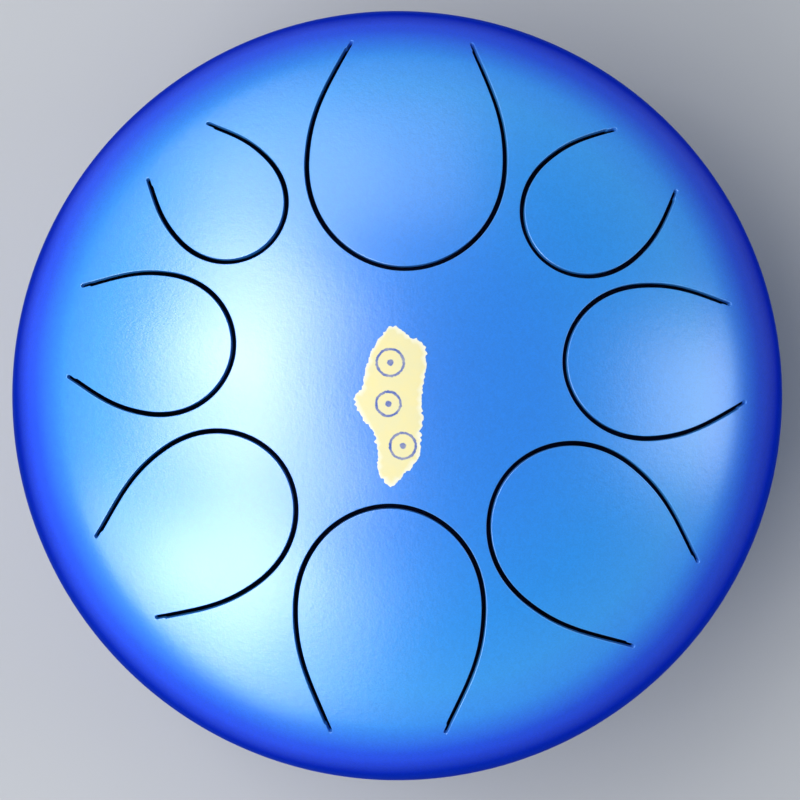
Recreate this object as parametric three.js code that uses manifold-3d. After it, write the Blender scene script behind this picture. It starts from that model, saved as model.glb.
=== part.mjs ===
// Steel tongue drum, the closed lens-shaped relative of the steel pan.
//
// Two pressed steel bowls are joined rim to rim by one weld. The upper bowl has
// a shallow spherical crown and a tight rounded shoulder. Eight tongues are cut
// in it, each by one horseshoe slot that stays open at the shoulder, so that
// the tongue hangs from a root there and swings like a reed. The lower bowl has
// a flat base with a round sound hole and three rubber feet. Each foot is held
// by a pan head screw, a washer and a nut inside the bowl. A thin vinyl decal
// lies on the middle of the crown.
//
// Frame: millimetres, +Z up, origin on the resting plane under the drum's axis.
// +Y points at the largest tongue.

import * as THREE from 'three';
import { mergeVertices } from 'three/addons/utils/BufferGeometryUtils.js';
import Module from 'manifold-3d';

const wasm = await Module();
wasm.setup();

// ------------------------------------------------------------ dimensions

const R_OUT = 127;            // outer radius of both bowls, a 10 inch drum
const WALL = 2;               // sheet thickness
const CROWN_R = 254;          // spherical crown of the upper bowl
const SHOULDER_R = 38;        // rounded shoulder of the upper bowl
const WELD_Z = 85;            // height of the joint between the bowls
const FLANGE = 3;             // straight rim of each bowl next to the joint
const BASE_Z = 9;             // underside of the flat base
const BASE_FLAT_R = 70;       // flat part of the base
const HOLE_R = 27.5;          // sound hole
const SEGMENTS = 64;          // facets round each bowl
const GAP = 0.3;              // space between pieces that touch

const WELD_HALF = 1.1;        // half the height of the weld bead
const WELD_PROUD = 0.2;       // how far the bead stands out of the wall

const SLOT = 1.42;            // width of the tongue slots
const SLOT_END = 0.78;        // width of the fine tuning cut at each slot's end
const SLOT_END_L = 3;         // its length

// The eight tongues, lowest note first. angle is the tongue's own axis round +Z
// from +X, tip is the radius of its free end, half is half its greatest width
// and root is the radius of its clamped end along its axis, all to the middle
// of the slot.
const TONGUES = [
  { angle: 89.5, tip: 35.8, half: 30.9, root: 110.4 },
  { angle: -89.4, tip: 37.1, half: 29.1, root: 107.0 },
  { angle: -36.6, tip: 43.7, half: 26.7, root: 107.5 },
  { angle: 217.1, tip: 42.4, half: 25.3, root: 102.9 },
  { angle: 7.75, tip: 52.4, half: 23.9, root: 108.0 },
  { angle: 171.9, tip: 50.9, half: 22.0, root: 102.4 },
  { angle: 44.5, tip: 60.0, half: 20.6, root: 107.2 },
  { angle: 134.7, tip: 58.7, half: 18.9, root: 102.0 },
];

// Half outline shared by all tongues, in units of half their width: two cubic
// Bezier curves from the tip (0, 0) by the widest place to the narrowed neck.
const OUTLINE = [
  [[0, 0], [0, 0.4795], [0.3946, 1], [1.113, 1]],
  [[1.113, 1], [1.7078, 1], [1.9914, 0.7826], [2.45, 0.6151]],
];

const FEET = [90, 210, 330];  // angles of the feet
const FOOT_PITCH = 55;        // radius at which they stand
const FOOT_TOP_R = 11;
const FOOT_BOTTOM_R = 9.5;
const FOOT_BORE_R = 2.5;
const FOOT_RECESS_R = 5.2;
const FOOT_RECESS_H = 4.2;
const SCREW_R = 2;            // M4
const SCREW_HEAD_R = 3.9;
const SCREW_HEAD_H = 2.4;
const SCREW_TOP_Z = 16;
const WASHER_R = 4.7;
const WASHER_H = 0.8;
const NUT_AF = 7;
const NUT_H = 3.2;
const CLEAR_R = 2.3;          // bore of the nuts, washers and base holes

const DECAL_X = -0.7;         // centre of the decal
const DECAL_Y = -6.9;
const DECAL_T = 0.3;

// Smooth outline of the decal about its centre, counterclockwise.
const DECAL = [
  [1.5, -24.4], [5.2, -21.8], [8.8, -16.6], [10.2, -9.6], [10.6, -1.5],
  [10.9, 6.8], [10.2, 14.2], [7.4, 19.6], [2.8, 23.4], [-2.2, 24.0],
  [-5.6, 19.4], [-8.2, 12.4], [-9.9, 4.6], [-9.6, -2.2], [-6.4, -8.0],
  [-4.6, -14.2], [-3.2, -20.4],
];

// ------------------------------------------------------------ helpers

// A three.js geometry as a manifold-3d solid.
function solid(geometry) {
  const g = geometry.clone();
  g.deleteAttribute('normal');
  g.deleteAttribute('uv');
  const m = mergeVertices(g, 1e-4);
  const index = m.index.array;
  const kept = [];
  for (let i = 0; i < index.length; i += 3) {
    const [a, b, c] = [index[i], index[i + 1], index[i + 2]];
    if (a !== b && b !== c && a !== c) kept.push(a, b, c);
  }
  const made = new wasm.Manifold(new wasm.Mesh({
    numProp: 3,
    vertProperties: new Float32Array(m.attributes.position.array),
    triVerts: new Uint32Array(kept),
  }));
  if (made.volume() <= 0) throw new Error('a profile is inside out');
  return made;
}

// A manifold-3d solid as a three.js geometry.
function geometryOf(made) {
  const mesh = made.getMesh();
  const n = mesh.numProp;
  const v = new Float32Array(mesh.numVert * 3);
  for (let i = 0; i < mesh.numVert; i++) v.set(mesh.vertProperties.subarray(i * n, i * n + 3), i * 3);
  const g = new THREE.BufferGeometry();
  g.setAttribute('position', new THREE.BufferAttribute(v, 3));
  g.setIndex(new THREE.BufferAttribute(new Uint32Array(mesh.triVerts), 1));
  g.computeVertexNormals();
  return g;
}

// A profile of [radius, z] points turned about +Z. The points run upwards on
// the outside, and the profile closes on itself or on the axis.
function turned(points, segments, closed = true) {
  const path = points.map(([r, z]) => new THREE.Vector2(r, z));
  if (closed) path.push(path[0].clone());
  const g = new THREE.LatheGeometry(path, segments);
  g.rotateX(Math.PI / 2);
  return g;
}

// An outline of [x, y] points extruded from z0 to z1.
function prism(points, z0, z1) {
  const shape = new THREE.Shape(points.map(([x, y]) => new THREE.Vector2(x, y)));
  const g = new THREE.ExtrudeGeometry(shape, { depth: z1 - z0, bevelEnabled: false });
  g.translate(0, 0, z0);
  return g;
}

function arc(cr, cz, radius, from, to, steps) {
  const out = [];
  for (let i = 0; i <= steps; i++) {
    const t = from + ((to - from) * i) / steps;
    out.push([cr + radius * Math.cos(t), cz + radius * Math.sin(t)]);
  }
  return out;
}

const bodies = new THREE.Group();

function add(name, geometry, material, x = 0, y = 0, z = 0, turn = 0) {
  const mesh = new THREE.Mesh(geometry, material);
  mesh.name = name;
  mesh.position.set(x, y, z);
  mesh.rotation.z = turn;
  bodies.add(mesh);
  return mesh;
}

// ------------------------------------------------------------ materials

const bluePaint = new THREE.MeshStandardMaterial({ color: 0x2878e8, roughness: 0.38, metalness: 0.6 });
const vinyl = new THREE.MeshStandardMaterial({ color: 0xf3e6ae, roughness: 0.55, metalness: 0.0 });
const rubber = new THREE.MeshStandardMaterial({ color: 0x1b1b1c, roughness: 0.85, metalness: 0.0 });
const zinc = new THREE.MeshStandardMaterial({ color: 0xb9bcc0, roughness: 0.35, metalness: 1.0 });

// ------------------------------------------------------------ upper bowl

const SHOULDER_Z = WELD_Z + FLANGE;              // centre height of the shoulder's arc
const SHOULDER_C = R_OUT - SHOULDER_R;           // and its distance from the axis
const TANGENT = Math.asin(SHOULDER_C / (CROWN_R - SHOULDER_R));
const CROWN_Z = SHOULDER_Z - (CROWN_R - SHOULDER_R) * Math.cos(TANGENT);

// Upper bowl's section between two offsets from its outer surface, out to its rim.
function upperSection(outer, inner, rimZ) {
  const up = (off) => [
    ...arc(SHOULDER_C, SHOULDER_Z, SHOULDER_R - off, 0, Math.PI / 2 - TANGENT, 5),
    ...arc(0, CROWN_Z, CROWN_R - off, Math.PI / 2 - TANGENT, Math.PI / 2, 5).slice(1),
  ];
  const out = up(outer);
  const inn = up(inner).reverse();
  out[out.length - 1][0] = 0;
  inn[0][0] = 0;
  return [...inn, [R_OUT - inner, rimZ], [R_OUT - outer, rimZ], ...out];
}

const upperBlank = solid(turned(upperSection(0, WALL, WELD_Z + WELD_HALF + GAP), SEGMENTS, false));

// ------------------------------------------------------------ tongues

function bezier([p0, p1, p2, p3], t) {
  const s = 1 - t;
  return [0, 1].map((k) => s ** 3 * p0[k] + 3 * s * s * t * p1[k] + 3 * s * t * t * p2[k] + t ** 3 * p3[k]);
}

// One side of a tongue's slot centre line, from the tip to the root, as
// [along the axis, across it].
function sideLine({ tip, half, root }) {
  const fine = [];
  for (const c of OUTLINE) for (let i = 0; i <= 60; i++) fine.push(bezier(c, i / 60));
  const line = fine.map(([x, y]) => [tip + x * half, y * half]).filter(([u]) => u < root - 0.01);
  const last = line[line.length - 1];
  const before = line[line.length - 6];
  const slope = (last[1] - before[1]) / (last[0] - before[0]);
  line.push([root, last[1] + slope * (root - last[0])]);
  return line;
}

// That line moved sideways by the slot's half width, less near its end, and
// thinned to a few points. side is -1 for the tongue's edge, 1 for the bowl's.
function edgeLine(tongue, side) {
  const line = sideLine(tongue);
  const lengths = [0];
  for (let i = 1; i < line.length; i++) {
    lengths.push(lengths[i - 1] + Math.hypot(line[i][0] - line[i - 1][0], line[i][1] - line[i - 1][1]));
  }
  const total = lengths[lengths.length - 1];
  const at = (s) => {
    let i = 1;
    while (i < lengths.length - 1 && lengths[i] < s) i++;
    const f = Math.min(1, Math.max(0, (s - lengths[i - 1]) / Math.max(1e-9, lengths[i] - lengths[i - 1])));
    return [0, 1].map((k) => line[i - 1][k] + f * (line[i][k] - line[i - 1][k]));
  };
  const stops = [];
  const steps = 13;
  const body = total - SLOT_END_L;
  for (let i = 0; i <= steps; i++) stops.push([(body * i) / steps, SLOT / 2]);
  stops.push([body + 0.5, SLOT_END / 2], [total, SLOT_END / 2]);
  return stops.map(([s, w]) => {
    const a = at(Math.max(0, s - 0.3));
    const b = at(Math.min(total, s + 0.3));
    const d = Math.hypot(b[0] - a[0], b[1] - a[1]);
    let n = [(-(b[1] - a[1])) / d, (b[0] - a[0]) / d];
    if (s === 0) n = [-1, 0];
    const p = at(s);
    return [p[0] + side * w * n[0], p[1] + side * w * n[1]];
  });
}

// A closed outline in the bowl's plan for the tongue (side -1) or its cut-out (1).
function tongueOutline(tongue, side) {
  const rootU = tongue.root + (side * GAP) / 2;
  const right = edgeLine(tongue, side);
  right[right.length - 1][0] = rootU;
  const left = right.slice(1).reverse().map(([u, v]) => [u, -v]);
  const local = [...left, ...right];
  const a = THREE.MathUtils.degToRad(tongue.angle);
  return local.map(([u, v]) => [u * Math.cos(a) - v * Math.sin(a), u * Math.sin(a) + v * Math.cos(a)]);
}

let upper = upperBlank;
TONGUES.forEach((tongue, i) => {
  const piece = upperBlank.intersect(solid(prism(tongueOutline(tongue, -1), 100, 160)));
  upper = upper.subtract(solid(prism(tongueOutline(tongue, 1), 100, 160)));
  add('tongue_' + (i + 1), geometryOf(piece), bluePaint);
});
add('top_shell', geometryOf(upper), bluePaint);

// ------------------------------------------------------------ lower bowl

const BOWL_Z = WELD_Z - FLANGE;                 // where the side starts to curve in
const BOWL_A = R_OUT - BASE_FLAT_R;             // half axes of its quarter ellipse
const BOWL_B = BOWL_Z - BASE_Z;

function bowlSide(off) {
  const out = [];
  for (let i = 0; i <= 8; i++) {
    const t = -Math.PI / 2 + (Math.PI / 2) * (i / 8);
    out.push([BASE_FLAT_R + (BOWL_A - off) * Math.cos(t), BOWL_Z + (BOWL_B - off) * Math.sin(t)]);
  }
  return out;
}

const lowerRim = WELD_Z - WELD_HALF - GAP;
let lower = solid(turned([
  [HOLE_R, BASE_Z], ...bowlSide(0), [R_OUT, lowerRim], [R_OUT - WALL, lowerRim],
  ...bowlSide(WALL).reverse(), [HOLE_R, BASE_Z + WALL],
], SEGMENTS));
for (const deg of FEET) {
  const a = THREE.MathUtils.degToRad(deg);
  const hole = new THREE.CylinderGeometry(CLEAR_R, CLEAR_R, 6, 16);
  hole.rotateX(Math.PI / 2);
  hole.translate(FOOT_PITCH * Math.cos(a), FOOT_PITCH * Math.sin(a), BASE_Z + 1);
  lower = lower.subtract(solid(hole));
}
add('bottom_shell', geometryOf(lower), bluePaint);

// ------------------------------------------------------------ weld

add('equator_weld', turned([
  [R_OUT - WALL, WELD_Z - WELD_HALF], [R_OUT, WELD_Z - WELD_HALF],
  [R_OUT + WELD_PROUD, WELD_Z], [R_OUT, WELD_Z + WELD_HALF], [R_OUT - WALL, WELD_Z + WELD_HALF],
], SEGMENTS), bluePaint);

// ------------------------------------------------------------ decal

const film = solid(turned([
  [0, CROWN_Z + CROWN_R + GAP],
  ...arc(0, CROWN_Z, CROWN_R + GAP, Math.PI / 2, Math.PI / 2 - 0.16, 6).slice(1),
  ...arc(0, CROWN_Z, CROWN_R + GAP + DECAL_T, Math.PI / 2 - 0.16, Math.PI / 2, 6).slice(0, -1),
  [0, CROWN_Z + CROWN_R + GAP + DECAL_T],
], 48, false));
const decal = film.intersect(solid(prism(DECAL.map(([x, y]) => [x + DECAL_X, y + DECAL_Y]), 120, 170)));
add('crown_decal', geometryOf(decal), vinyl);

// ------------------------------------------------------------ feet

const footProfile = [
  [FOOT_RECESS_R, 0], [FOOT_BOTTOM_R - 0.6, 0], [FOOT_BOTTOM_R, 0.6],
  [FOOT_TOP_R, BASE_Z - GAP], [FOOT_BORE_R, BASE_Z - GAP],
  [FOOT_BORE_R, FOOT_RECESS_H], [FOOT_RECESS_R, FOOT_RECESS_H],
];
const washerZ = FOOT_RECESS_H - GAP - WASHER_H;
const washerProfile = [
  [CLEAR_R, washerZ], [WASHER_R, washerZ], [WASHER_R, washerZ + WASHER_H], [CLEAR_R, washerZ + WASHER_H],
];
const headTop = washerZ - GAP;
const headBottom = headTop - SCREW_HEAD_H;
const screwProfile = [
  [0, headBottom], [2.4, headBottom], [3.5, headBottom + 0.5], [SCREW_HEAD_R, headBottom + 1.3],
  [SCREW_HEAD_R, headTop], [SCREW_R, headTop], [SCREW_R, SCREW_TOP_Z - 0.5], [SCREW_R - 0.5, SCREW_TOP_Z],
  [0, SCREW_TOP_Z],
];
const screwBlank = solid(turned(screwProfile, 16, false));
const slotA = new THREE.BoxGeometry(4.2, 0.9, 2.8);
slotA.translate(0, 0, headBottom);
const slotB = new THREE.BoxGeometry(0.9, 4.2, 2.8);
slotB.translate(0, 0, headBottom);
const screw = screwBlank.subtract(solid(slotA).add(solid(slotB)));

const nutShape = new THREE.Shape();
for (let i = 0; i < 6; i++) {
  const a = (i * Math.PI) / 3;
  const r = NUT_AF / 2 / Math.cos(Math.PI / 6);
  nutShape[i ? 'lineTo' : 'moveTo'](r * Math.cos(a), r * Math.sin(a));
}
nutShape.closePath();
const nutBore = new THREE.Path();
nutBore.absarc(0, 0, CLEAR_R, 0, 2 * Math.PI, true);
nutShape.holes.push(nutBore);
const nut = new THREE.ExtrudeGeometry(nutShape, { depth: NUT_H, bevelEnabled: false, curveSegments: 16 });
nut.translate(0, 0, BASE_Z + WALL + GAP);

FEET.forEach((deg, i) => {
  const a = THREE.MathUtils.degToRad(deg);
  const x = FOOT_PITCH * Math.cos(a);
  const y = FOOT_PITCH * Math.sin(a);
  add('foot_' + (i + 1), turned(footProfile, 24), rubber, x, y);
  add('foot_washer_' + (i + 1), turned(washerProfile, 16), zinc, x, y);
  add('foot_screw_' + (i + 1), geometryOf(screw), zinc, x, y, 0, a + 0.4);
  add('foot_nut_' + (i + 1), nut.clone(), zinc, x, y, 0, a);
});

export default bodies;
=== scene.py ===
import math

import bpy
import numpy as np
from mathutils import Matrix, Vector
from mathutils.geometry import delaunay_2d_cdt


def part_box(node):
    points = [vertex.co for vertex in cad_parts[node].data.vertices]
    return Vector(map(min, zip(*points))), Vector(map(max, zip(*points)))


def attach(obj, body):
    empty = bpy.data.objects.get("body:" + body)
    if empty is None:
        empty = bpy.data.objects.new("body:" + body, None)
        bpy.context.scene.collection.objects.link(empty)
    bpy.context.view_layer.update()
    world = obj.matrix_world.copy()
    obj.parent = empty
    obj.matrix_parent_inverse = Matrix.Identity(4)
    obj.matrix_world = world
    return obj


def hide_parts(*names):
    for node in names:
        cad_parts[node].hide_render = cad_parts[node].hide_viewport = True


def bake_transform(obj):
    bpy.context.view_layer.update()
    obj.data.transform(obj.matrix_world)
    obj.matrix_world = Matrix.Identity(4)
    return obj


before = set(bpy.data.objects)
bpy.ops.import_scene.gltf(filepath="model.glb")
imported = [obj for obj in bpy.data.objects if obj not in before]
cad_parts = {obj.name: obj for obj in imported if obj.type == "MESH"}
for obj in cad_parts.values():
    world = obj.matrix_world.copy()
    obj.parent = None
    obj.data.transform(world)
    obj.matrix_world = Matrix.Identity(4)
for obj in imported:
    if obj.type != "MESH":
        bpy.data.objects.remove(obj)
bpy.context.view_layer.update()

# Everything below is worked out in millimetres and scaled to metres when a mesh is made.
MM = 0.001

# ---------------------------------------------------------------- the drum's measures
R_OUT = 127.0
WALL = 2.0
CROWN_R = 254.0
KNUCKLE = 38.0
WELD_Z = 85.0
FLANGE = 3.0
SHOULDER_Z = WELD_Z + FLANGE
SHOULDER_C = R_OUT - KNUCKLE
TANGENT = math.asin(SHOULDER_C / (CROWN_R - KNUCKLE))
CROWN_Z = SHOULDER_Z - (CROWN_R - KNUCKLE) * math.cos(TANGENT)
R_TANGENT = CROWN_R * math.sin(TANGENT)
BASE_Z = 9.0
BASE_FLAT_R = 70.0
HOLE_R = 27.5
FEET = (90, 210, 330)
FOOT_PITCH = 55.0

SLOT = 0.76          # half width of the horseshoe slots
SLOT_END = 0.61      # half width of the fine tuning cut at each end
BEVEL = 0.2

# angle, tip radius, half width, leg ends (at -v side, at +v side), sideways shift of the two tuning cuts
TONGUES = {
    "tongue_1": (89.5, 35.8, 30.9, 111.9, 110.9, 0.2, -0.16),
    "tongue_2": (-89.4, 37.1, 29.1, 108.8, 108, -0.18, 0.22),
    "tongue_3": (-36.6, 43.7, 26.7, 109.4, 108.7, 0.16, 0.2),
    "tongue_4": (217.1, 42.4, 25.3, 104.6, 103.4, 0.2, -0.2),
    "tongue_5": (7.75, 52.4, 23.9, 109.9, 108.2, -0.2, 0.18),
    "tongue_6": (171.9, 50.9, 22, 103.7, 102.7, 0.22, 0.18),
    "tongue_7": (44.5, 60, 20.6, 108.45, 107.55, -0.16, -0.2),
    "tongue_8": (134.7, 58.7, 18.9, 102.6, 102.2, 0.2, 0.16),
}


# ---------------------------------------------------------------- surfaces
def crown(xy, depth=0.0):
    """Points and normals of the upper bowl over plan points, depth below its outer face."""
    xy = np.atleast_2d(np.asarray(xy, float))
    r = np.hypot(xy[:, 0], xy[:, 1])
    safe = np.maximum(r, 1e-9)
    radial = xy / safe[:, None]
    inner = r < R_TANGENT
    s = np.where(inner, r / CROWN_R, np.clip((r - SHOULDER_C) / KNUCKLE, -1, 1))
    c = np.sqrt(1 - s * s)
    z = np.where(inner, CROWN_Z + CROWN_R * c, SHOULDER_Z + KNUCKLE * c)
    n = np.column_stack([radial * s[:, None], c])
    return np.column_stack([xy, z]) - n * np.broadcast_to(np.asarray(depth, float).reshape(-1, 1), (len(xy), 1)), n


def base_plane(xy, depth=0.0):
    """The same for the flat base of the lower bowl, whose outer face looks down."""
    xy = np.atleast_2d(np.asarray(xy, float))
    n = np.tile([0.0, 0.0, -1.0], (len(xy), 1))
    z = np.full(len(xy), BASE_Z)
    return np.column_stack([xy, z]) - n * np.broadcast_to(np.asarray(depth, float).reshape(-1, 1), (len(xy), 1)), n


def arc_points(cx, cy, r, a0, a1, n):
    return [(cx + r * math.cos(a0 + (a1 - a0) * i / n), cy + r * math.sin(a0 + (a1 - a0) * i / n)) for i in range(n + 1)]


# ---------------------------------------------------------------- mesh making
class Build:
    """Gathers the points, normals and faces of one mesh."""

    def __init__(self):
        self.p, self.n, self.e, self.f, self.m = [], [], [], [], []

    def add(self, points, normals, edge=0.0):
        start = len(self.p)
        points = np.atleast_2d(points)
        normals = np.broadcast_to(np.atleast_2d(normals), points.shape)
        self.p.extend(points.tolist())
        self.n.extend(normals.tolist())
        self.e.extend([edge] * len(points))
        return list(range(start, start + len(points)))

    def face(self, ids, mat=0):
        clean = [v for i, v in enumerate(ids) if v != ids[i - 1]]
        if len(clean) > 2:
            self.f.append(clean)
            self.m.append(mat)

    def strip(self, a, b, closed=False, mat=0, flip=False):
        n = len(a)
        for i in range(n if closed else n - 1):
            j = (i + 1) % n
            q = [a[i], a[j], b[j], b[i]]
            self.face(q[::-1] if flip else q, mat)

    def mesh(self, name, materials, smooth=True):
        me = bpy.data.meshes.new(name)
        me.from_pydata((np.array(self.p) * MM).tolist(), [], self.f)
        me.validate(clean_customdata=False)
        for mat in materials:
            me.materials.append(mat)
        me.polygons.foreach_set("material_index", np.array(self.m, np.int32)[: len(me.polygons)])
        me.polygons.foreach_set("use_smooth", np.full(len(me.polygons), smooth))
        # cut_edge marks the rounded cut edges: the blue paint turns it into a painted highlight, and the decal turns it
        # into its paler edge
        edge = me.attributes.new("cut_edge", "FLOAT", "POINT")
        edge.data.foreach_set("value", np.array(self.e, np.float32))
        if smooth:
            nn = np.array(self.n, float)
            nn /= np.maximum(np.linalg.norm(nn, axis=1), 1e-9)[:, None]
            me.normals_split_custom_set_from_vertices(nn.tolist())
        me.update()
        ob = bpy.data.objects.new(name, me)
        bpy.context.scene.collection.objects.link(ob)
        return ob


def inside(points, loop):
    """Which plan points lie inside a closed loop."""
    points = np.asarray(points, float)
    loop = np.asarray(loop, float)
    hit = np.zeros(len(points), bool)
    lo, hi = loop.min(0), loop.max(0)
    near = np.where(np.all((points >= lo) & (points <= hi), axis=1))[0]
    if not len(near):
        return hit
    x, y = points[near, 0][:, None], points[near, 1][:, None]
    a, b = loop, np.roll(loop, -1, axis=0)
    cross = (a[:, 1] > y) != (b[:, 1] > y)
    dy = np.where(b[:, 1] == a[:, 1], 1e-12, b[:, 1] - a[:, 1])
    xi = a[:, 0] + (y - a[:, 1]) * (b[:, 0] - a[:, 0]) / dy
    hit[near] = (np.sum(cross & (x < xi), axis=1) % 2).astype(bool)
    return hit


def far_from(points, others, gap):
    keep = np.ones(len(points), bool)
    for i in range(0, len(others), 400):
        d = points[:, None, :] - others[None, i : i + 400, :]
        keep &= (d * d).sum(2).min(1) > gap * gap
    return points[keep]


def triangulate(outer, holes, spacing, gap):
    """Plan triangles of a region: outer loop and hole loops are lists of points, in order. Returns points, triangles and, for each loop, its point numbers."""
    loops = [np.asarray(outer, float)] + [np.asarray(h, float) for h in holes]
    edge_points = np.vstack(loops)
    lo, hi = loops[0].min(0), loops[0].max(0)
    rows = []
    step_y = spacing * math.sqrt(3) / 2
    for j, y in enumerate(np.arange(lo[1] + step_y / 2, hi[1], step_y)):
        xs = np.arange(lo[0] + spacing * (0.25 + 0.5 * (j % 2)), hi[0], spacing)
        rows.append(np.column_stack([xs, np.full(len(xs), y)]))
    grid = np.vstack(rows)
    grid = grid[inside(grid, loops[0])]
    for h in loops[1:]:
        grid = grid[~inside(grid, h)]
    grid = far_from(grid, edge_points, gap)
    coords = [Vector(p) for p in edge_points.tolist()] + [Vector(p) for p in grid.tolist()]
    edges, start = [], 0
    for loop in loops:
        n = len(loop)
        edges += [(start + i, start + (i + 1) % n) for i in range(n)]
        start += n
    verts, _, faces, origin, _, _ = delaunay_2d_cdt(coords, edges, [], 0, 1e-7)
    pts = np.array([tuple(v) for v in verts], float)
    tri = np.array([tuple(f) for f in faces], int)
    mid = pts[tri].mean(1)
    keep = inside(mid, loops[0])
    for h in loops[1:]:
        keep &= ~inside(mid, h)
    tri = tri[keep]
    a, b, c = pts[tri[:, 0]], pts[tri[:, 1]], pts[tri[:, 2]]
    area = (b[:, 0] - a[:, 0]) * (c[:, 1] - a[:, 1]) - (b[:, 1] - a[:, 1]) * (c[:, 0] - a[:, 0])
    tri[area < 0] = tri[area < 0][:, ::-1]
    where = {}
    for new, olds in enumerate(origin):
        for old in olds:
            where[old] = new
    ids, start = [], 0
    for loop in loops:
        ids.append([where[start + i] for i in range(len(loop))])
        start += len(loop)
    return pts, tri, ids


def rings_of(build, surface, walls, dirs, bevel, wall=WALL, inner_bevel=0.12):
    """Point rows of a rounded sheet edge, from the outer face to the inner face. walls are plan points of the cut's wall, dirs the plan directions from the metal into the cut."""
    rows = []
    _, n = surface(walls)
    flat = np.column_stack([dirs, np.zeros(len(dirs))])
    side = flat - n * (flat * n).sum(1)[:, None]
    side /= np.linalg.norm(side, axis=1)[:, None]
    k = 1 - math.sqrt(0.5)
    # the last number of each row is the cut_edge weight, which the paint turns into a painted highlight along the cut
    plan = [(bevel, 0, 1.0, 0.0, 0.0), (bevel * k, bevel * k, 1.0, 1.0, 1.0), (0, bevel, 0.0, 1.0, 1.0),
            (0, wall - inner_bevel, 0.0, 1.0, 0.3), (inner_bevel * k, wall - inner_bevel * k, -1.0, 1.0, 0.0), (inner_bevel, wall, -1.0, 0.0, 0.0)]
    for back, depth, up, out, edge in plan:
        pts, nn = surface(walls - dirs * back, depth)
        rows.append((pts, up * nn + out * side, edge))
    return rows


def normals_of(path):
    """Plan normals, to the right of a path, at each of its points."""
    path = np.asarray(path, float)
    t = np.gradient(path, axis=0)
    t /= np.maximum(np.linalg.norm(t, axis=1), 1e-12)[:, None]
    return np.column_stack([t[:, 1], -t[:, 0]])


# ---------------------------------------------------------------- the slots
def bezier(p, t):
    p = np.asarray(p, float)
    t = t[:, None]
    return (1 - t) ** 3 * p[0] + 3 * (1 - t) ** 2 * t * p[1] + 3 * (1 - t) * t * t * p[2] + t ** 3 * p[3]


def smooth(x):
    x = np.clip(x, 0, 1)
    return x * x * (3 - 2 * x)


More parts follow.
